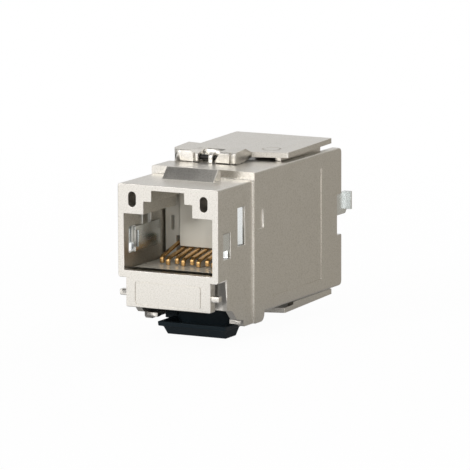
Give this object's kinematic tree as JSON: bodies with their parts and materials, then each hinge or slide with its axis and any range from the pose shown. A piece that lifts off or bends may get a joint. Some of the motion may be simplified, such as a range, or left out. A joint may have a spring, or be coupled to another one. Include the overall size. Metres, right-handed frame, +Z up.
{
  "type": "keystone jack",
  "caption": "Shielded keystone jack with a cast housing, modular plug port, hinged covers over the wire terminals and a sprung panel latch.",
  "frame": {"origin": "centre of the plug opening on the front face", "axes": "+Y runs from the front face to the rear along the plug's path, +Z is up through the keyway, +X is to the right seen from the front"},
  "size_m": [0.0138, 0.0361, 0.0217],
  "materials": {
    "nickel_zinc": "satin nickel plate on a zinc casting",
    "spring_steel": "plain rolled sheet",
    "dark_plastic": "moulded, low sheen",
    "pale_plastic": "moulded, fine texture",
    "clear_grey_plastic": "moulded",
    "gold_plate": "thin gold plate on bronze",
    "board_laminate": "solder mask"
  },
  "bodies": {
    "module": {"housing": "nickel_zinc", "top_hinge_pin": "spring_steel", "bottom_hinge_pin": "spring_steel", "shield_spring_left": "spring_steel", "shield_spring_right": "spring_steel", "strain_clip": "spring_steel", "contact_carrier": "pale_plastic", "wire_manager": "pale_plastic", "terminal_block_top": "clear_grey_plastic", "terminal_block_bottom": "clear_grey_plastic", "contact_1": "gold_plate", "contact_2": "gold_plate", "contact_3": "gold_plate", "contact_4": "gold_plate", "contact_5": "gold_plate", "contact_6": "gold_plate", "contact_7": "gold_plate", "contact_8": "gold_plate", "terminal_1": "gold_plate", "terminal_2": "gold_plate", "terminal_3": "gold_plate", "terminal_4": "gold_plate", "terminal_5": "gold_plate", "terminal_6": "gold_plate", "terminal_7": "gold_plate", "terminal_8": "gold_plate", "circuit_board": "board_laminate"},
    "top_flap": {"top_cover": "nickel_zinc"},
    "bottom_flap": {"bottom_cover": "nickel_zinc"},
    "latch": {"release_latch": "dark_plastic"}
  },
  "joints": [
    {"name": "top_cover_hinge", "type": "hinge", "parent": "module", "child": "top_flap", "pos_m": [0, 0.0139, 0.0085], "axis": [1, 0, 0], "range_deg": [0, 90]},
    {"name": "bottom_cover_hinge", "type": "hinge", "parent": "module", "child": "bottom_flap", "pos_m": [0, 0.0139, -0.00984], "axis": [-1, 0, 0], "range_deg": [0, 90]},
    {"name": "latch_pivot", "type": "hinge", "parent": "module", "child": "latch", "pos_m": [0, 0.0106, -0.00906], "axis": [-1, 0, 0], "range_deg": [0, 12], "stiffness_Nm_per_rad": 0.1}
  ]
}
